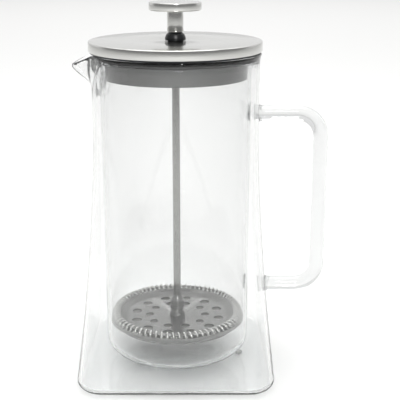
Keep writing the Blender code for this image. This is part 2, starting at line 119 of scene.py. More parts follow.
# %% Draw a profile, and spin it
def draw_profile(name, points):
    """One line of edges in the XZ plane, extruded from vertex to vertex. Left in edit mode."""
    deselect_all()
    bpy.ops.mesh.primitive_plane_add(size=MM, location=(0, 0, 0))
    piece = bpy.context.object
    piece.name = piece.data.name = name
    bpy.ops.object.mode_set(mode="EDIT")
    bpy.ops.mesh.select_all(action="SELECT")
    bpy.ops.mesh.merge(type="CENTER")
    here = (0.0, 0.0)
    for i, there in enumerate(points):
        step = ((there[0] - here[0]) * MM, 0, (there[1] - here[1]) * MM)
        if i == 0:
            bpy.ops.transform.translate(value=step)
        else:
            bpy.ops.mesh.extrude_region_move(TRANSFORM_OT_translate={"value": step})
        here = there
    return piece


def smoothed(piece, angle):
    """Smooth shading, except over edges that are sharper than an angle in degrees."""
    pick(piece)
    bpy.ops.object.shade_smooth_by_angle(angle=math.radians(angle))
    return piece


def finish_mesh(piece, smooth=30.0, inside=False):
    """Closes seams, turns the faces outwards, and smooths all but the sharp edges."""
    pick(piece)
    bpy.ops.object.mode_set(mode="EDIT")
    bpy.ops.mesh.select_all(action="SELECT")
    bpy.ops.mesh.remove_doubles(threshold=0.002 * MM)
    bpy.ops.mesh.normals_make_consistent(inside=inside)
    return smoothed(piece, smooth)


def turned(name, corners, steps=128, closed=True, smooth=30.0, inside=False):
    """A profile turned round Z. A closed one is a ring, an open one starts and ends on the axis."""
    points = rounded(corners)
    if closed:
        points = points + points[:1]
    piece = draw_profile(name, points)
    bpy.ops.mesh.select_all(action="SELECT")
    bpy.ops.mesh.spin(steps=steps, angle=math.tau, center=(0, 0, 0), axis=(0, 0, 1))
    return finish_mesh(piece, smooth, inside)


# %% Add, cut and join
def boolean(piece, tool, operation):
    """Adds or cuts a tool shape with an exact Boolean, and throws the tool away."""
    pick(piece)
    step = piece.modifiers.new("boolean", "BOOLEAN")
    step.object = tool
    step.operation = operation
    step.solver = "EXACT"
    bpy.ops.object.modifier_apply(modifier=step.name)
    bpy.data.objects.remove(tool)
    return piece


def settle(piece):
    """Moves a piece's place and turn into its mesh, so that its object sits at the origin."""
    pick(piece)
    bpy.ops.object.transform_apply(location=True, rotation=True, scale=True)
    return piece


def joined(pieces):
    deselect_all()
    for piece in pieces:
        piece.select_set(True)
    bpy.context.view_layer.objects.active = pieces[0]
    bpy.ops.object.join()
    return pieces[0]


def pins(count, ring, radius, middle, depth, start=0.0, sides=24, stretch=1.0):
    """A circle of upright pins that cut a circle of holes."""
    made = []
    for i in range(count):
        angle = math.radians(start) + math.tau * i / count
        deselect_all()
        bpy.ops.mesh.primitive_cylinder_add(
            vertices=sides, radius=radius * MM, depth=depth * MM,
            location=(ring * math.cos(angle) * MM, ring * math.sin(angle) * MM, middle * MM),
            rotation=(0, 0, angle), scale=(stretch, 1, 1),
        )
        made.append(bpy.context.object)
    return settle(joined(made))


# %% Give a piece its finish and its body
def hand_over(piece, body, slot, finish, *nodes):
    piece.data.materials.clear()
    piece.data.materials.append(finish)
    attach(piece, body)
    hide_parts(*nodes)
    low = [min(v.co[k] for v in piece.data.vertices) / MM for k in range(3)]
    high = [max(v.co[k] for v in piece.data.vertices) / MM for k in range(3)]
    size = " x ".join(f"{b - a:.1f}" for a, b in zip(low, high))
    print(f"{piece.name}: {len(piece.data.polygons)} faces, {size} mm, z {low[2]:.1f}-{high[2]:.1f}")


# %% [markdown]
# ## Camera
#
# The press is seen from a little above, from about half a metre away, which is close: the foot
# looks wider than the lid, and the round rims open to clear ellipses.

# %% The camera
CAMERA_PLACE = (15.2, -553.7, 273.6)
CAMERA_PITCH = 15.6  # degrees down from level
CAMERA_LENS = 80.1
CAMERA_SHIFT = -0.0385  # the picture reaches a little lower than the camera points

deselect_all()
bpy.ops.object.camera_add(
    location=[v * MM for v in CAMERA_PLACE],
    rotation=(math.radians(90.0 - CAMERA_PITCH), 0, 0),
)
camera = bpy.context.object
camera.name = "camera"
camera.data.sensor_width = 36.0
camera.data.lens = CAMERA_LENS
camera.data.shift_y = CAMERA_SHIFT
camera.data.clip_start = 0.02
camera.data.clip_end = 60.0
bpy.context.scene.camera = camera
print("camera at", CAMERA_PLACE, "mm, looking down", CAMERA_PITCH, "degrees")

# %% [markdown]
# ## Light
#
# Clear glass has no colour of its own, so it is drawn by what it bends. It stands in front of a
# bright white surround, and what is on the camera's side is greyer. Rims and walls that bend
# the light far enough pick up that grey, and become fine dark lines. Steel does the same: a
# rod shows a pale and a dark streak because the room has a pale and a dark side.

# %% Light paths, and one helper for every node
GLASS_BOUNCES = 28  # a ray crosses up to eight glass surfaces, and bounces about inside them

scene = bpy.context.scene
scene.view_settings.view_transform = "Standard"
scene.cycles.max_bounces = GLASS_BOUNCES
scene.cycles.transmission_bounces = GLASS_BOUNCES
scene.cycles.transparent_max_bounces = GLASS_BOUNCES
scene.cycles.glossy_bounces = 8
scene.cycles.diffuse_bounces = 4


def add_node(tree, kind, values=None, links=None, **settings):
    """A node with its settings, its sockets' values and what is linked into its sockets."""
    node = tree.nodes.new(kind)
    for name, value in settings.items():
        setattr(node, name, value)
    for name, value in (values or {}).items():
        node.inputs[name].default_value = value
    for name, source in (links or {}).items():
        tree.links.new(source, node.inputs[name])
    return node


# %% The surround
BACK_LIGHT = 1.12  # behind the press, and what the glass is seen against
ROOM_LIGHT = 0.36  # the sides and the camera's side of the room
OVERHEAD_LIGHT = 0.92
SEEN_LIGHT = 1.0  # plain white wherever the camera sees the surround itself

world = bpy.data.worlds.new("studio")
scene.world = world
world.use_nodes = True
sky = world.node_tree
sky.nodes.clear()
direction = add_node(sky, "ShaderNodeTexCoord")
parts = add_node(sky, "ShaderNodeSeparateXYZ", links={"Vector": direction.outputs["Generated"]})
depth = add_node(
    sky, "ShaderNodeMapRange",
    {"From Min": 0.05, "From Max": 0.6, "To Min": ROOM_LIGHT, "To Max": BACK_LIGHT},
    {"Value": parts.outputs["Y"]}, interpolation_type="SMOOTHSTEP",
)
rise = add_node(
    sky, "ShaderNodeMapRange", {"From Min": 0.3, "From Max": 0.85},
    {"Value": parts.outputs["Z"]}, interpolation_type="SMOOTHSTEP",
)
level = add_node(
    sky, "ShaderNodeMix", {"B": OVERHEAD_LIGHT},
    {"Factor": rise.outputs["Result"], "A": depth.outputs["Result"]},
)
seen = add_node(sky, "ShaderNodeLightPath")
surround = add_node(
    sky, "ShaderNodeMix", {"B": SEEN_LIGHT},
    {"Factor": seen.outputs["Is Camera Ray"], "A": level.outputs["Result"]},
)
light = add_node(sky, "ShaderNodeBackground", links={"Strength": surround.outputs["Result"]})
add_node(sky, "ShaderNodeOutputWorld", links={"Surface": light.outputs["Background"]})


# %% Three soft boxes
def softbox(name, place, aim, width, height, power):
    """A rectangular lamp that faces a point. Places and sizes are in metres, power in watts."""
    deselect_all()
    bpy.ops.object.light_add(type="AREA", location=place)
    lamp = bpy.context.object
    lamp.name = name
    lamp.data.shape = "RECTANGLE"
    lamp.data.size = width
    lamp.data.size_y = height
    lamp.data.energy = power
    lamp.rotation_euler = (Vector(aim) - Vector(place)).to_track_quat("-Z", "Y").to_euler()


softbox("softbox_above", (-0.1, 0.15, 1.5), (0, 0, 0), 1.4, 1.1, 10.4)
softbox("softbox_behind", (0, 2.6, 2.4), (0, 2.4, 0), 3.0, 2.4, 28.5)
softbox("softbox_front", (0.15, -1.35, 1.08), (0, 0, 0.1), 0.3, 0.3, 8.5)

# %% The floor
deselect_all()
bpy.ops.mesh.primitive_plane_add(size=40.0, location=(0, 0, 0))
floor = bpy.context.object
floor.name = "studio_floor"
paint = bpy.data.materials.new("matt_white_paint")
paint.use_nodes = True
grain = add_node(
    paint.node_tree, "ShaderNodeTexNoise", {"Scale": 400.0, "Detail": 2.0},
    {"Vector": add_node(paint.node_tree, "ShaderNodeTexCoord").outputs["Object"]},
)
board = paint.node_tree.nodes["Principled BSDF"]
board.inputs["Base Color"].default_value = colour("#f4f4f3")
board.inputs["Roughness"].default_value = 0.8
board.inputs["Specular IOR Level"].default_value = 0.2
paint.node_tree.links.new(
    add_node(
        paint.node_tree, "ShaderNodeBump", {"Strength": 0.05, "Distance": 0.0002},
        {"Height": grain.outputs["Fac"]},
    ).outputs["Normal"],
    board.inputs["Normal"],
)
floor.data.materials.append(paint)

# %% [markdown]
# ## Finishes
#
# Each finish starts from the stock Principled shader. `new_finish` makes one and hands back its
# shader and the place of each point on the piece, which is what the patterns are measured from.


# %% A material, its shader and its coordinates
def new_finish(name, base, roughness, metallic=0.0, **sockets):
    finish = bpy.data.materials.new(name)
    finish.use_nodes = True
    shader = finish.node_tree.nodes["Principled BSDF"]
    shader.inputs["Base Color"].default_value = colour(base)
    shader.inputs["Roughness"].default_value = roughness
    shader.inputs["Metallic"].default_value = metallic
    for label, value in sockets.items():
        shader.inputs[label.replace("_", " ")].default_value = value
    place = add_node(finish.node_tree, "ShaderNodeTexCoord").outputs["Object"]
    return finish, finish.node_tree, shader, place


def roughen(tree, shader, height, strength, distance):
    """A bump from a height pattern, with its depth in millimetres."""
    bump = add_node(
        tree, "ShaderNodeBump", {"Strength": strength, "Distance": distance * MM},
        {"Height": height},
    )
    tree.links.new(bump.outputs["Normal"], shader.inputs["Normal"])


def vary_roughness(tree, shader, pattern, low, high):
    """Roughness that wanders between two values."""
    spread = add_node(
        tree, "ShaderNodeMapRange", {"To Min": low, "To Max": high}, {"Value": pattern}
    )
    tree.links.new(spread.outputs["Result"], shader.inputs["Roughness"])


def vary_colour(tree, shader, pattern, low, high):
    """Base colour that wanders between two hex values."""
    # A Mix node keeps its colour sockets after those for numbers and vectors, so they go by number
    mix = add_node(
        tree, "ShaderNodeMix", {6: colour(low), 7: colour(high)}, {0: pattern}, data_type="RGBA"
    )
    tree.links.new(mix.outputs[2], shader.inputs["Base Color"])


# %% [markdown]
# ### Glass
#
# The body is borosilicate, the clear glass of laboratory ware, IOR 1.47. It is blown and then
# worked by hand over a flame, so its skin has very faint, long waves that run down the wall.
# Glass absorbs a little light as it goes through. Here the absorption is far stronger than real
# borosilicate's: a painted shade that darkens the thick edges and the whole body. Shadow
# rays pass straight through, so the lamps reach the filter inside.


# %% Borosilicate glass
def clear_glass():
    finish, tree, shader, place = new_finish(
        "blown_borosilicate_glass", "#ffffff", 0.0, IOR=1.47, Transmission_Weight=1.0
    )
    stretched = add_node(tree, "ShaderNodeMapping", {"Scale": (1.0, 1.0, 0.22)}, {"Vector": place})
    waves = add_node(
        tree, "ShaderNodeTexNoise", {"Scale": 55.0, "Detail": 1.0},
        {"Vector": stretched.outputs["Vector"]},
    )
    roughen(tree, shader, waves.outputs["Fac"], 0.08, 0.1)
    clear = add_node(tree, "ShaderNodeBsdfTransparent", {"Color": (0.97, 0.975, 0.975, 1.0)})
    path = add_node(tree, "ShaderNodeLightPath")
    both = add_node(
        tree, "ShaderNodeMixShader",
        links={0: path.outputs["Is Shadow Ray"], 1: shader.outputs["BSDF"], 2: clear.outputs["BSDF"]},
    )
    out = tree.nodes["Material Output"]
    tree.links.new(both.outputs["Shader"], out.inputs["Surface"])
    # Painted shade: absorption far stronger than real glass darkens the thick edges and the whole body
    dim = add_node(tree, "ShaderNodeVolumeAbsorption", {"Color": colour("#b9bdbd"), "Density": 40.0})
    tree.links.new(dim.outputs["Volume"], out.inputs["Volume"])
    return finish


GLASS = clear_glass()

# %% [markdown]
# ### Steel
#
# The metal is 18/8 stainless steel in four finishes. The lid and knob are turned and then
# satin finished, so their grooves run in rings. The rod is drawn, so its marks run along it.
# The filter plates are pressed and polished. The coil is spring wire. The lid's base colour is
# the steel's own; the rod's and the plates' are darker, a painted shade, and the coil's is
# brighter, a painted highlight.


# %% Stainless steel, turned and satin finished
def satin_steel():
    finish, tree, shader, place = new_finish(
        "satin_turned_stainless_steel", "#cfcfcc", 0.17, 1.0, Anisotropic=0.1
    )
    across = add_node(
        tree, "ShaderNodeVectorMath", {1: (1.0, 1.0, 0.0)}, {0: place}, operation="MULTIPLY"
    )
    radius = add_node(
        tree, "ShaderNodeVectorMath", links={0: across.outputs["Vector"]}, operation="LENGTH"
    )
    # Grooves of a turning tool are about 0.1 mm apart, and drawn at about 0.4 mm so that they show
    rings = add_node(
        tree, "ShaderNodeTexNoise", {"Scale": 2600.0, "Detail": 2.0}, {"W": radius.outputs["Value"]},
        noise_dimensions="1D",
    )
    roughen(tree, shader, rings.outputs["Fac"], 0.2, 0.01)
    cloud = add_node(tree, "ShaderNodeTexNoise", {"Scale": 60.0, "Detail": 3.0}, {"Vector": place})
    vary_roughness(tree, shader, cloud.outputs["Fac"], 0.14, 0.21)
    tangent = add_node(tree, "ShaderNodeTangent", direction_type="RADIAL", axis="Z")
    tree.links.new(tangent.outputs["Tangent"], shader.inputs["Tangent"])
    return finish


SATIN_STEEL = satin_steel()


# %% Stainless steel rod, drawn through a die
def drawn_steel():
    # The base colour is darker than the steel's own: painted shade, for the dimmer surroundings the rod
    # reflects
    finish, tree, shader, place = new_finish("drawn_stainless_rod_painted_shade", "#9d9d9a", 0.16, 1.0)
    long_marks = add_node(tree, "ShaderNodeMapping", {"Scale": (1.0, 1.0, 0.02)}, {"Vector": place})
    marks = add_node(
        tree, "ShaderNodeTexNoise", {"Scale": 3500.0, "Detail": 2.0},
        {"Vector": long_marks.outputs["Vector"]},
    )
    roughen(tree, shader, marks.outputs["Fac"], 0.15, 0.01)
    vary_roughness(tree, shader, marks.outputs["Fac"], 0.12, 0.22)
    return finish


ROD_STEEL = drawn_steel()


# %% Stainless steel sheet, pressed and polished
def polished_steel():
    # The base colour is darker than the steel's own: a painted shade on the dish, plate, hub and nut
    # inside the glass
    finish, tree, shader, place = new_finish("polished_pressed_stainless_painted_shade", "#8f8f8d", 0.22, 1.0)
    haze = add_node(tree, "ShaderNodeTexNoise", {"Scale": 180.0, "Detail": 3.0}, {"Vector": place})
    vary_roughness(tree, shader, haze.outputs["Fac"], 0.16, 0.28)
    roughen(tree, shader, haze.outputs["Fac"], 0.06, 0.05)
    return finish


POLISHED_STEEL = polished_steel()


# %% Spring wire
def spring_wire():
    # The base colour is brighter than the steel's own: a painted highlight, so the turns stand out
    # against the mesh
    finish, tree, shader, place = new_finish("spring_wire_painted_highlight", "#ededea", 0.2, 1.0)
    marks = add_node(tree, "ShaderNodeTexNoise", {"Scale": 900.0, "Detail": 2.0}, {"Vector": place})
    vary_roughness(tree, shader, marks.outputs["Fac"], 0.16, 0.26)
    return finish


SPRING_STEEL = spring_wire()

# %% [markdown]
# ### Woven steel mesh
#
# The filter cloth is plain-woven wire, over and under, about 0.15 mm apart. That is finer than
# the render can show, so it is drawn at 0.8 mm. On the flat the weave is square. On the cup's
# wall it runs round and up, so that pattern is measured along the wall. The holes between the
# wires are too small to see singly, but they let light through, so the cloth is partly clear.
# The weave's colour is painted shade in its hollows and painted highlight on its crests, darker overall
# than the steel's own.


# %% Plain-woven wire
MESH_COVER = 0.9  # the share of the cloth that stops light
WEAVE_PITCH = 0.8
CUP_RADIUS = 44.7


def woven_mesh():
    finish, tree, shader, place = new_finish(
        "plain_woven_steel_mesh_painted_shade_and_highlight", "#8b8b89", 0.34, 1.0, Alpha=MESH_COVER
    )
    parts = add_node(tree, "ShaderNodeSeparateXYZ", links={"Vector": place})
    turn = add_node(
        tree, "ShaderNodeMath", links={0: parts.outputs["Y"], 1: parts.outputs["X"]},
        operation="ARCTAN2",
    )
    length = add_node(
        tree, "ShaderNodeMath", {1: CUP_RADIUS * MM}, {0: turn.outputs["Value"]}, operation="MULTIPLY"
    )
    waves = []
    for source in (length.outputs["Value"], parts.outputs["Z"]):
        scaled = add_node(
            tree, "ShaderNodeMath", {1: math.tau / (WEAVE_PITCH * MM)}, {0: source},
            operation="MULTIPLY",
        )
        waves.append(
            add_node(tree, "ShaderNodeMath", links={0: scaled.outputs["Value"]}, operation="SINE")
        )
    weave = add_node(
        tree, "ShaderNodeMath", links={0: waves[0].outputs["Value"], 1: waves[1].outputs["Value"]},
        operation="MULTIPLY",
    )
    height = add_node(
        tree, "ShaderNodeMapRange", {"From Min": -1.0, "From Max": 1.0},
        {"Value": weave.outputs["Value"]},
    )
    roughen(tree, shader, height.outputs["Result"], 0.6, 0.12)
    # Painted shade in the weave's hollows and painted highlight on its crests
    vary_colour(tree, shader, height.outputs["Result"], "#5c5c5a", "#c2c2c0")
    return finish


MESH_STEEL = woven_mesh()

# %% [markdown]
# ### Plastic and rubber
#
# The lid's liner is moulded polypropylene, slightly waxy. The collar seal, the gasket and the
# bush are silicone rubber: matt, with a bloom of very fine grain from the mould.


# %% Moulded polypropylene and silicone
def moulded(name, base, dark, roughness, grit, depth):
    finish, tree, shader, place = new_finish(name, base, roughness)
    grain = add_node(tree, "ShaderNodeTexNoise", {"Scale": grit, "Detail": 3.0}, {"Vector": place})
    cloud = add_node(tree, "ShaderNodeTexNoise", {"Scale": 45.0, "Detail": 2.0}, {"Vector": place})
    vary_colour(tree, shader, cloud.outputs["Fac"], dark, base)
    vary_roughness(tree, shader, grain.outputs["Fac"], roughness - 0.06, roughness + 0.08)
    roughen(tree, shader, grain.outputs["Fac"], 0.3, depth)
    return finish


GREY_PLASTIC = moulded("moulded_grey_polypropylene", "#90908f", "#868685", 0.42, 900.0, 0.03)
GREY_SILICONE = moulded("grey_silicone_rubber", "#595958", "#5c5c5b", 0.55, 1400.0, 0.03)
BLACK_SILICONE = moulded("black_silicone_rubber", "#15181b", "#0f1214", 0.34, 1200.0, 0.02)
CLEAR_SILICONE = moulded("translucent_silicone_rubber", "#f2f2f0", "#e8e8e5", 0.25, 900.0, 0.03)
CLEAR_SILICONE.node_tree.nodes["Principled BSDF"].inputs["Transmission Weight"].default_value = 0.9
print("finishes:", len(bpy.data.materials))

# %% [markdown]
# ## The glass body
#
# The outer wall is round at the mouth and a rounded square at the foot. Both are one family:
# a rounded square whose corners are as wide as itself is a circle. So the wall is spun round,
# and each ring of vertices is then pushed out to the rounded square for its height.

# %% The rounded square for a height
SHELL_TOP_RADIUS = 52.5
SHELL_BASE_HALF = 62.0
SHELL_CORNER = 16.5
SHELL_EDGE = 5.5  # rounding at the foot
SHELL_ROUND_ABOVE = 155.0
BEAKER_RADIUS = 45.0  # inside
WALL = 2.2
FLAT_CORNER_SHARE = 0.2  # corner rounding on the flat of the foot, as a share of its half-width


def shell_section(height):
    """Half-width and corner radius of the outer wall at a height."""
    down = (SHELL_ROUND_ABOVE - height) / (SHELL_ROUND_ABOVE - SHELL_EDGE)
    down = min(max(down, 0.0), 1.0)
    half = SHELL_TOP_RADIUS + (SHELL_BASE_HALF - SHELL_TOP_RADIUS) * down**1.75
    corner = half + (SHELL_CORNER - half) * (1.0 - (1.0 - down) ** 0.85)
    return half, corner


def rounded_square(half, corner, angle):
    """The distance from the middle of a rounded square to its outline."""
    across = abs(math.cos(angle))
    along = abs(math.sin(angle))
    flat = half / max(across, along)
    if min(across, along) * flat <= half - corner:
        return flat
    middle = (half - corner) * (across + along)
    return middle + math.sqrt(max(middle * middle - 2.0 * (half - corner) ** 2 + corner**2, 0.0))


def shell_radius(radius, height, angle):
    """Where a point of the spun outer wall goes."""
    half, corner = shell_section(max(height, SHELL_EDGE))
    corner = max(corner - (half - radius), FLAT_CORNER_SHARE * radius)
    return rounded_square(radius, min(corner, radius), angle)


# %% [markdown]
# ### Mouth and spout
#
# Near the rim the two walls join and roll out into a lip. The spout is that same lip, pulled
# outwards while it was hot. So there are two profiles with the same number of points, one for
# the plain rim and one for the middle of the spout, and the wall slides from one to the other
# over 24 degrees on each side.

# %% The two profiles of the mouth
SPOUT_HALF_ANGLE = 24.0
SPOUT_SHARPNESS = 2.6  # how narrow the spout is drawn in towards its tip
PLAIN_MOUTH = [
    (52.5, 176.0), (52.5, 182.0), (52.5, 188.0), (52.5, 194.0), (52.6, 199.0), (53.1, 202.2),
    (53.4, 203.4), (53.2, 204.2), (52.4, 204.45), (50.9, 204.35), (49.0, 203.9), (47.5, 202.9),
    (46.4, 201.4), (45.4, 198.6), (45.0, 195.0), (45.0, 190.0), (45.0, 183.0), (45.0, 176.0),
]
SPOUT_MOUTH = [
    (52.5, 176.0), (52.5, 179.4), (52.6, 182.4), (53.6, 185.2), (56.0, 187.6), (59.0, 189.9),
    (61.8, 192.3), (63.9, 194.6), (64.5, 196.2), (64.0, 197.5), (62.6, 197.3), (60.6, 195.1),
    (58.2, 192.8), (55.4, 190.3), (52.2, 187.4), (49.2, 184.4), (46.7, 180.8), (45.0, 176.0),
]


def smooth_line(points, count):
    """Evenly shared points on the smooth curve through some points."""
    made = []
    for k in range(count):
        share = k / (count - 1) * (len(points) - 1)
        index = min(int(share), len(points) - 2)
        t = share - index
        p = [points[max(index - 1, 0)], points[index], points[index + 1],
             points[min(index + 2, len(points) - 1)]]
        made.append(tuple(
            0.5 * (2 * b + (c - a) * t + (2 * a - 5 * b + 4 * c - d) * t * t
                   + (3 * b - a - 3 * c + d) * t**3)
            for a, b, c, d in zip(*p)
        ))
    return made


plain_line = smooth_line(PLAIN_MOUTH, 70)
spout_line = smooth_line(SPOUT_MOUTH, 70)


def spout_share(angle, half_angle, sharpness):
    """1 in the middle of the spout's side, falling to 0 at half_angle degrees from there."""
    away = math.degrees(abs((angle % math.tau) - math.pi))
    return math.cos(0.5 * math.pi * min(away / half_angle, 1.0)) ** sharpness


# %% [markdown]
# ### The outside and the inside of the glass, as one skin
#
# The profile starts under the foot, goes up the outside, over the lip, down the inside of the
# beaker and across its floor. After the spin, each vertex of the outer wall moves to its
# rounded square, and each vertex of the mouth slides towards the spout.

# %% The skin's profile
BEAKER_FLOOR = 10.5
BEAKER_CORNER = 8.0
GLASS_STEPS = 256


def arc_points(x, z, radius, start, end, steps):
    """Points of an arc, from a start angle to an end angle in degrees."""
    made = []
    for i in range(steps + 1):
        angle = math.radians(start + (end - start) * i / steps)
        made.append((x + radius * math.cos(angle), z + radius * math.sin(angle)))
    return made


def wall_points(bottom, top, count, inset):
    """Points up the outer wall, each at its own half-width."""
    made = []
    for i in range(count + 1):
        height = bottom + (top - bottom) * i / count
        made.append((shell_section(height)[0] - inset, height))
    return made


foot = SHELL_BASE_HALF - SHELL_EDGE
skin = [(0.0, 0.6), (20.0, 0.5), (38.0, 0.25), (48.0, 0.05)]
skin += arc_points(foot, SHELL_EDGE, SHELL_EDGE, -90, 0, 10)
skin += wall_points(SHELL_EDGE, 172.0, 26, 0.0)[1:]
mouth_start = len(skin)
skin += plain_line
skin += [(BEAKER_RADIUS, height) for height in (172.0, 140.0, 100.0, 60.0)]
corner_x = BEAKER_RADIUS - BEAKER_CORNER
corner_z = BEAKER_FLOOR + BEAKER_CORNER
skin += arc_points(corner_x, corner_z, BEAKER_CORNER, 0, -90, 12)
skin += [(22.0, BEAKER_FLOOR), (10.0, BEAKER_FLOOR), (0.0, BEAKER_FLOOR)]
print("the skin's profile has", len(skin), "points")


# %% Spin a profile, then shape its rings
def blown(name, profile, inside=False):
    """A profile spun round Z. Each vertex keeps its profile point's number, as its ring."""
    piece = draw_profile(name, profile)
    bpy.ops.object.mode_set(mode="OBJECT")
    number = piece.data.attributes.new("ring", "INT", "POINT")
    for i, vertex in enumerate(piece.data.vertices):
        x, z = vertex.co.x / MM, vertex.co.z / MM
        number.data[i].value = min(
            range(len(profile)), key=lambda k: (profile[k][0] - x) ** 2 + (profile[k][1] - z) ** 2
        )
    pick(piece)
    bpy.ops.object.mode_set(mode="EDIT")
    bpy.ops.mesh.select_all(action="SELECT")
    bpy.ops.mesh.spin(steps=GLASS_STEPS, angle=math.tau, center=(0, 0, 0), axis=(0, 0, 1))
    return finish_mesh(piece, inside=inside)


def shape_rings(piece, mouth_start, plain, pulled, half_angle, sharpness):
    """Rings before the mouth go to their rounded square, and the mouth's slide to the spout."""
    ring_of = [entry.value for entry in piece.data.attributes["ring"].data]
    for vertex, ring in zip(piece.data.vertices, ring_of):
        radius = math.hypot(vertex.co.x, vertex.co.y) / MM
        if radius < 0.01 or ring >= mouth_start + len(plain):
            continue
        angle = math.atan2(vertex.co.y, vertex.co.x)
        height = vertex.co.z / MM
        if ring < mouth_start:
            radius = shell_radius(radius, height, angle)
        else:
            share = spout_share(angle, half_angle, sharpness)
            ends = zip(plain[ring - mouth_start], pulled[ring - mouth_start])
            radius, height = (start + (end - start) * share for start, end in ends)
        vertex.co = (radius * math.cos(angle) * MM, radius * math.sin(angle) * MM, height * MM)
    piece.data.attributes.remove(piece.data.attributes["ring"])


glass = blown("blown_glass_body", skin)
shape_rings(glass, mouth_start, plain_line, spout_line, SPOUT_HALF_ANGLE, SPOUT_SHARPNESS)
print("glass skin:", len(glass.data.polygons), "faces")

# %% [markdown]
# ### The handle
#
# A glass rod is heated, bent to a D and fused to the wall. It is made the same way here: a
# circle is extruded out of the wall, spun through the first bend, extruded down, spun through
# the second bend and extruded back. At each root the rod swells a little, where the hot glass
# flowed into the wall.

# %% Extrude and spin a rod
HANDLE_ROD = 4.7
HANDLE_REACH = 92.0
HANDLE_TOP = 166.0
HANDLE_BOTTOM = 51.0
HANDLE_BEND = 15.0
BEND_X = HANDLE_REACH - HANDLE_BEND
ROOT_DEPTH = 1.5  # how far the rod's ends reach into the wall
# How far out of its end the rod is how thick
ROOT_SWELL = [(0.0, 5.6), (1.6, 5.5), (2.4, 5.15), (3.4, 4.9), (5.5, 4.74)]


def extrude_ring(x, y, z):
    bpy.ops.mesh.extrude_region_move(TRANSFORM_OT_translate={"value": (x * MM, y * MM, z * MM)})


def scale_ring(share, x, z):
    bpy.ops.transform.resize(value=(1, share, share), center_override=(x * MM, 0, z * MM))


deselect_all()
top_root = SHELL_TOP_RADIUS - ROOT_DEPTH
bottom_root = shell_section(HANDLE_BOTTOM)[0] - ROOT_DEPTH
bpy.ops.mesh.primitive_circle_add(
    vertices=48, radius=ROOT_SWELL[0][1] * MM, location=(0, 0, 0), rotation=(0, math.pi / 2, 0)
)
rod = settle(bpy.context.object)
rod.name = rod.data.name = "handle_rod"
bpy.ops.object.mode_set(mode="EDIT")
bpy.ops.mesh.select_all(action="SELECT")
bpy.ops.transform.translate(value=(top_root * MM, 0, HANDLE_TOP * MM))
reached, wide = 0.0, ROOT_SWELL[0][1]
for out, radius in ROOT_SWELL[1:]:
    extrude_ring(out - reached, 0, 0)
    scale_ring(radius / wide, top_root + out, HANDLE_TOP)
    reached, wide = out, radius
extrude_ring(BEND_X - top_root - reached, 0, 0)
scale_ring(HANDLE_ROD / wide, BEND_X, HANDLE_TOP)
bpy.ops.mesh.spin(
    steps=16, angle=-math.pi / 2, axis=(0, 1, 0),
    center=(BEND_X * MM, 0, (HANDLE_TOP - HANDLE_BEND) * MM),
)
drop = HANDLE_TOP - HANDLE_BOTTOM - 2 * HANDLE_BEND
extrude_ring(0, 0, -drop)
bpy.ops.mesh.spin(
    steps=16, angle=-math.pi / 2, axis=(0, 1, 0),
    center=(BEND_X * MM, 0, (HANDLE_BOTTOM + HANDLE_BEND) * MM),
)
at_x, wide = BEND_X, HANDLE_ROD
for out, radius in reversed(ROOT_SWELL):
    extrude_ring(bottom_root + out - at_x, 0, 0)
    scale_ring(radius / wide, bottom_root + out, HANDLE_BOTTOM)
    at_x, wide = bottom_root + out, radius
bpy.ops.mesh.select_all(action="SELECT")
bpy.ops.mesh.fill_holes(sides=0)
finish_mesh(rod, 60.0)
print("handle rod:", len(rod.data.polygons), "faces")

# %% Fuse it to the wall
boolean(glass, rod, "UNION")
print("glass with its handle:", len(glass.data.polygons), "faces")

# %% [markdown]
# ### The air between the walls
#
# What makes the press double walled is the closed pocket of air. Its surface is a boundary of
# the glass too, so it belongs to the same mesh, with its faces pointing into the air. Its top
# ends in a round, where the walls join, and dips under the spout.

# %% The pocket's profile, its spin and its shape
POCKET_PLAIN = [
    (50.3, 162.0), (50.3, 174.0), (50.3, 186.0), (50.3, 195.0), (50.2, 198.5), (49.9, 200.4),
    (49.2, 201.2), (48.5, 200.4), (47.8, 198.5), (47.3, 195.0), (47.2, 186.0), (47.2, 174.0),
    (47.2, 162.0),
]
POCKET_SPOUT = [
    (50.3, 162.0), (50.3, 166.0), (50.3, 170.0), (50.3, 173.5), (50.15, 175.6), (49.6, 177.0),
    (48.8, 177.4), (48.1, 176.9), (47.4, 175.6), (47.2, 173.5), (47.2, 170.0), (47.2, 166.0),
    (47.2, 162.0),
]
POCKET_DIP_ANGLE = 34.0  # the dip is wider than the spout, so that the wall stays even
POCKET_DIP_SHARPNESS = 2.0
pocket_plain = smooth_line(POCKET_PLAIN, 40)
pocket_spout = smooth_line(POCKET_SPOUT, 40)
inner_edge = SHELL_EDGE - WALL
pocket = [(0.0, WALL + 0.5), (20.0, WALL + 0.4), (38.0, WALL + 0.2), (48.0, WALL)]
pocket += arc_points(foot, SHELL_EDGE, inner_edge, -90, 0, 8)
pocket += wall_points(SHELL_EDGE, 158.0, 24, WALL)[1:]
pocket_mouth = len(pocket)
pocket += pocket_plain
pocket += [(BEAKER_RADIUS + WALL, height) for height in (130.0, 90.0, 50.0)]
pocket += arc_points(corner_x, corner_z, BEAKER_CORNER + WALL, 0, -90, 12)
pocket += [(20.0, BEAKER_FLOOR - WALL), (0.0, BEAKER_FLOOR - WALL)]

air = blown("air_pocket", pocket, inside=True)
shape_rings(air, pocket_mouth, pocket_plain, pocket_spout, POCKET_DIP_ANGLE, POCKET_DIP_SHARPNESS)
smoothed(joined([glass, air]), 40.0)
hand_over(glass, "vessel", "glass", GLASS, "outer_shell", "inner_beaker", "handle")

# %% [markdown]
# ## The vent pip
#
# Air has to escape while the two walls are sealed together over the flame, so there is a small
# hole in the foot, closed with a soft clear plug.

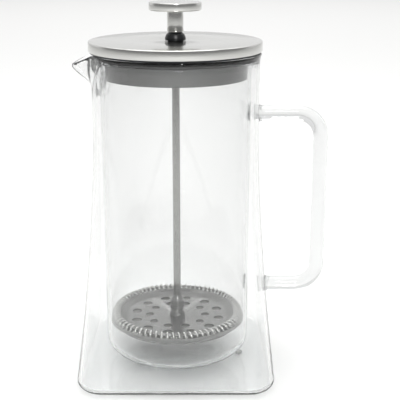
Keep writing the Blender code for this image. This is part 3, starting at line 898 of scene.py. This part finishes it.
# %% Turn the pip
PIP_PLACE = (41.0, -3.0)
pip = turned(
    "base_vent_pip",
    [(0, 3.3, 0), (2.4, 3.2, 0.3), (2.9, 2.7, 0.2), (2.3, 2.4, 0.1), (2.3, 0.6, 0.3), (0, 0.6, 0)],
    steps=32, closed=False,
)
bpy.ops.object.mode_set(mode="EDIT")
bpy.ops.mesh.select_all(action="SELECT")
bpy.ops.transform.translate(value=(PIP_PLACE[0] * MM, PIP_PLACE[1] * MM, 0))
deselect_all()
hand_over(pip, "vessel", "clear_silicone", CLEAR_SILICONE, "vent_plug")

# %% [markdown]
# ## The lid
#
# The lid is a steel cap over a plastic liner. The liner has a collar that goes down into the
# beaker, with a silicone seal stretched over it. An arched notch in the seal, on the spout's
# side, lets the coffee out, and slots through the collar behind it hold back the grounds. A
# thin black gasket sits between the cap and the glass rim.

# %% The gasket and the cap
gasket = turned(
    "lid_gasket_band",
    [(53.0, 205.4, 0.3), (53.0, 204.6, 0.3), (44.9, 204.6, 0.2), (44.9, 205.4, 0.2)],
    steps=160,
)
hand_over(gasket, "gasket", "black_silicone", BLACK_SILICONE, "rim_gasket")

cap = turned(
    "spun_lid_cap",
    [(5.0, 211.7, 0.2), (53.9, 211.7, 0.7), (53.9, 205.7, 0.3), (52.9, 205.7, 0.2),
     (52.9, 210.7, 0.4), (5.0, 210.7, 0.1)],
    steps=192,
)
hand_over(cap, "lid", "satin_steel", SATIN_STEEL, "lid_cap")

# %% The liner and its collar, with the seal over it
liner = turned(
    "lid_liner",
    [(5.0, 210.4, 0.2), (52.6, 210.4, 0.3), (52.6, 206.0, 0.4), (42.1, 206.0, 0.3),
     (42.1, 191.0, 0.4), (40.3, 191.0, 0.4), (40.3, 206.0, 0.3), (5.0, 206.0, 0.2)],
    steps=160,
)
seal = turned(
    "lid_seal_collar",
    [(44.6, 205.4, 0.3), (44.6, 189.4, 0.7), (42.4, 189.4, 0.3), (42.4, 205.4, 0.3)],
    steps=192,
)


# %% The arched notch, and the slots behind it
NOTCH_HALF_WIDTH = 21.0
NOTCH_ARCH = 0.38  # the height of the arch, as a share of its half-width
NOTCH_SPRING = 191.4  # the height at which the arch starts
COLLAR_RADIUS = 41.2


def arched_notch():
    """A bar with an arched top, lying along X through the spout's side of the collar."""
    deselect_all()
    bpy.ops.mesh.primitive_cylinder_add(
        vertices=64, radius=NOTCH_HALF_WIDTH * MM, depth=30.0 * MM,
        location=(-49.0 * MM, 0, NOTCH_SPRING * MM),
        rotation=(0, math.pi / 2, 0), scale=(NOTCH_ARCH, 1, 1),
    )
    bar = settle(bpy.context.object)
    bpy.ops.object.mode_set(mode="EDIT")
    bpy.ops.mesh.select_all(action="DESELECT")
    bpy.ops.object.mode_set(mode="OBJECT")
    for vertex in bar.data.vertices:
        vertex.select = vertex.co.z < (NOTCH_SPRING - 0.01) * MM
    bpy.ops.object.mode_set(mode="EDIT")
    bpy.ops.transform.resize(value=(1, 1, 0), center_override=(0, 0, 185.0 * MM))
    bpy.ops.object.mode_set(mode="OBJECT")
    return bar


boolean(seal, arched_notch(), "DIFFERENCE")


def strainer_slots(count, step, width, bottom, top):
    """Upright slots through the collar behind the notch, which hold back the grounds."""
    made = []
    for i in range(count):
        angle = math.pi + math.radians(step) * (i - 0.5 * (count - 1))
        deselect_all()
        bpy.ops.mesh.primitive_cube_add(
            size=1.0,
            location=(COLLAR_RADIUS * math.cos(angle) * MM, COLLAR_RADIUS * math.sin(angle) * MM,
                      0.5 * (bottom + top) * MM),
            rotation=(0, 0, angle), scale=(6.0 * MM, width * MM, (top - bottom) * MM),
        )
        made.append(bpy.context.object)
    return settle(joined(made))


boolean(liner, strainer_slots(17, 3.1, 1.0, 188.0, 197.6), "DIFFERENCE")
for piece in (liner, seal):
    smoothed(piece, 30.0)
hand_over(liner, "lid", "grey_plastic", GREY_PLASTIC, "lid_insert")
hand_over(seal, "lid", "grey_silicone", GREY_SILICONE, "seal_ring")

# %% [markdown]
# ## The rod's bush
#
# A domed rubber bush guides the rod through the lid, and a steel washer holds it from below.

# %% Turn the bush and the washer
ROD_RADIUS = 2.4
ROD_BORE = 2.7  # of all that the rod goes through

bush = turned(
    "lid_rod_bush",
    [(ROD_BORE, 216.6, 0.3), (4.1, 216.6, 0.3), (5.6, 215.4, 0.8), (6.4, 213.4, 0.8), (6.5, 212.0, 0.2),
     (4.7, 212.0, 0.1), (4.7, 204.2, 0.1), (5.6, 204.2, 0.2), (5.6, 203.4, 0.2),
     (4.7, 202.6, 0.3), (ROD_BORE, 202.6, 0.3)],
    steps=96,
)
hand_over(bush, "bush", "black_silicone", BLACK_SILICONE, "rod_grommet")

washer = turned(
    "lid_bush_washer",
    [(9.0, 205.7, 0.2), (9.0, 204.5, 0.2), (5.0, 204.5, 0.1), (5.0, 205.7, 0.1)], steps=64,
)
hand_over(washer, "lid", "satin_steel", SATIN_STEEL, "grommet_washer")

# %% [markdown]
# ## Knob and rod

# %% Turn the knob, its neck and the rod
THREAD_RADIUS = 2.12  # at the root
THREAD_PITCH = 0.8

knob = turned(
    "knob_disc_cap",
    [(0, 235.0, 0), (16.2, 235.0, 0.7), (16.2, 230.0, 0.7), (0, 230.0, 0)],
    steps=128, closed=False,
)
hand_over(knob, "plunger", "satin_steel", SATIN_STEEL, "knob_disc")

neck = turned(
    "knob_neck",
    [(0, 229.7, 0), (5.0, 229.7, 0.3), (5.0, 216.9, 0.4), (ROD_BORE, 216.9, 0.2),
     (ROD_BORE, 228.5, 0.1), (0, 228.5, 0)],
    steps=64, closed=False,
)
hand_over(neck, "plunger", "satin_steel", SATIN_STEEL, "knob_stem")

rod_corners = [(0, 228.2, 0), (ROD_RADIUS, 228.2, 0.5), (ROD_RADIUS, 25.6, 0.1)]
thread = 25.2
while thread > 20.6:
    rod_corners += [(THREAD_RADIUS, thread, 0.05), (ROD_RADIUS, thread - 0.5 * THREAD_PITCH, 0.05)]
    thread -= THREAD_PITCH
rod_corners += [(1.9, 19.8, 0.1), (0, 19.8, 0)]
plunger_rod = turned("drawn_plunger_rod", rod_corners, steps=48, closed=False)
hand_over(plunger_rod, "plunger", "satin_steel", ROD_STEEL, "plunger_rod")

# %% [markdown]
# ## The filter
#
# From the top down: a hub nut, a washer, a polished dish with two rings of holes, a coil of
# spring wire threaded round the dish's edge, a cup of woven mesh, a plate that holds the mesh
# flat, and a nut. The coil pushes the mesh against the glass.

# %% The hub nut and its washer
hub = turned(
    "filter_hub_nut",
    [(ROD_BORE, 43.0, 0.1), (3.3, 43.0, 0.15), (4.6, 39.9, 0.25), (4.6, 33.9, 0.2), (4.0, 33.5, 0.1),
     (4.0, 32.9, 0.1), (4.6, 32.5, 0.2), (4.6, 31.2, 0.25), (ROD_BORE, 31.2, 0.1)],
    steps=64,
)
hand_over(hub, "plunger", "polished_steel", POLISHED_STEEL, "hub_nut")
ring = turned(
    "filter_hub_washer",
    [(5.1, 30.9, 0.2), (5.1, 29.3, 0.2), (ROD_BORE, 29.3, 0.1), (ROD_BORE, 30.9, 0.1)], steps=64,
)
hand_over(ring, "plunger", "polished_steel", POLISHED_STEEL, "hub_washer")

# %% [markdown]
# ### The dish
#
# The dish is pressed from sheet: a flat floor, a sloping side, a raised bead and a narrow
# flange. The flange has one small slot for each turn of the coil, which is threaded through it.

# %% Turn the dish and cut its holes
COIL_TURNS = 74
SLOT_START = 0.75 * 360.0 / COIL_TURNS  # where the wire is at its innermost
dish = turned(
    "filter_spring_dish",
    [(ROD_BORE, 29.0, 0.1), (33.8, 29.0, 0.8), (35.3, 31.2, 0.5), (36.0, 31.7, 0.3), (36.6, 32.3, 0.4),
     (37.2, 31.7, 0.3), (39.5, 31.7, 0.15), (39.5, 31.2, 0.15), (36.2, 31.0, 0.3),
     (34.7, 30.4, 0.4), (33.2, 28.3, 0.6), (ROD_BORE, 28.3, 0.1)],
    steps=COIL_TURNS * 3,
)
holes = joined([
    pins(12, 28.0, 3.2, 28.6, 4.0, start=18.7, sides=32),
    pins(10, 18.6, 2.7, 28.6, 4.0, sides=32),
    pins(COIL_TURNS, 38.2, 0.66, 31.5, 4.0, start=SLOT_START, sides=10, stretch=1.3),
])
smoothed(boolean(dish, holes, "DIFFERENCE"), 30.0)
hand_over(dish, "plunger", "polished_steel", POLISHED_STEEL, "spring_plate")

# %% [markdown]
# ### The coil
#
# One circle of wire section is screwed through all its turns into a long straight spring, and
# the spring is then rolled up into a ring, so that its end meets its start.

# %% Screw a straight spring
COIL_RING = 40.9
COIL_TURN = 2.85
COIL_MIDDLE = 31.5
WIRE = 0.55
WIRE_SIDES = 8
TURN_STEPS = 18

deselect_all()
bpy.ops.mesh.primitive_circle_add(
    vertices=WIRE_SIDES, radius=WIRE * MM, location=(0, 0, 0), rotation=(0, math.pi / 2, 0)
)
coil = settle(bpy.context.object)
coil.name = coil.data.name = "filter_edge_coil"
bpy.ops.object.mode_set(mode="EDIT")
bpy.ops.mesh.select_all(action="SELECT")
bpy.ops.transform.rotate(value=math.pi / 2, orient_axis="Z", center_override=(0, 0, 0))
bpy.ops.transform.translate(value=(0, 0, COIL_TURN * MM))
bpy.ops.object.mode_set(mode="OBJECT")
screw = coil.modifiers.new("turns", "SCREW")
screw.axis = "X"
screw.angle = math.tau
screw.screw_offset = math.tau * COIL_RING * MM / COIL_TURNS
screw.iterations = COIL_TURNS
screw.steps = screw.render_steps = TURN_STEPS
bpy.ops.object.modifier_apply(modifier=screw.name)

# %% Roll it into a ring
for vertex in coil.data.vertices:
    angle = vertex.co.x / (COIL_RING * MM)
    radius = COIL_RING * MM - vertex.co.y
    vertex.co = (radius * math.cos(angle), radius * math.sin(angle), vertex.co.z + COIL_MIDDLE * MM)
finish_mesh(coil, 70.0)
hand_over(coil, "plunger", "spring_steel", SPRING_STEEL, "coil_spring")

# %% [markdown]
# ### The mesh cup, the plate under it and the nut

# %% Turn the mesh cup, whose wall hugs the lower half of the coil
inner_wall = arc_points(COIL_RING, COIL_MIDDLE, 3.38, -78, 6, 10)
outer_wall = arc_points(COIL_RING, COIL_MIDDLE, 3.74, 6, -80, 10)
cup = turned(
    "filter_mesh_cup",
    [(ROD_BORE, 27.9, 0), (40.0, 27.9, 0)] + [(x, z, 0) for x, z in inner_wall + outer_wall]
    + [(40.0, 27.5, 0), (ROD_BORE, 27.5, 0)],
    steps=192, smooth=50.0,
)
hand_over(cup, "plunger", "steel_mesh", MESH_STEEL, "mesh_screen")

# %% The plate under the mesh
plate = turned(
    "filter_cross_plate",
    [(ROD_BORE, 27.0, 0.1), (9.0, 27.0, 0.4), (10.0, 26.6, 0.4), (38.6, 26.6, 0.3), (39.0, 27.0, 0.3),
     (40.0, 27.0, 0.3), (40.0, 25.6, 0.3), (ROD_BORE, 25.6, 0.1)],
    steps=160,
)
smoothed(boolean(plate, pins(8, 25.0, 8.0, 26.3, 5.0, sides=48), "DIFFERENCE"), 30.0)
hand_over(plate, "plunger", "polished_steel", POLISHED_STEEL, "cross_plate")

# %% The nut, a hexagon with its corners turned off
deselect_all()
bpy.ops.mesh.primitive_cylinder_add(
    vertices=6, radius=6.0 * MM, depth=4.5 * MM, location=(0, 0, 23.05 * MM)
)
nut = settle(bpy.context.object)
nut.name = nut.data.name = "filter_bottom_nut"
turning = turned(
    "nut_turning",
    [(0, 25.3, 0), (5.2, 25.3, 0), (6.1, 24.7, 0), (6.1, 21.4, 0), (5.2, 20.8, 0), (0, 20.8, 0)],
    steps=64, closed=False,
)
boolean(nut, turning, "INTERSECT")
smoothed(boolean(nut, pins(1, 0.0, ROD_BORE, 23.0, 8.0, sides=48), "DIFFERENCE"), 30.0)
hand_over(nut, "plunger", "polished_steel", POLISHED_STEEL, "plate_nut")
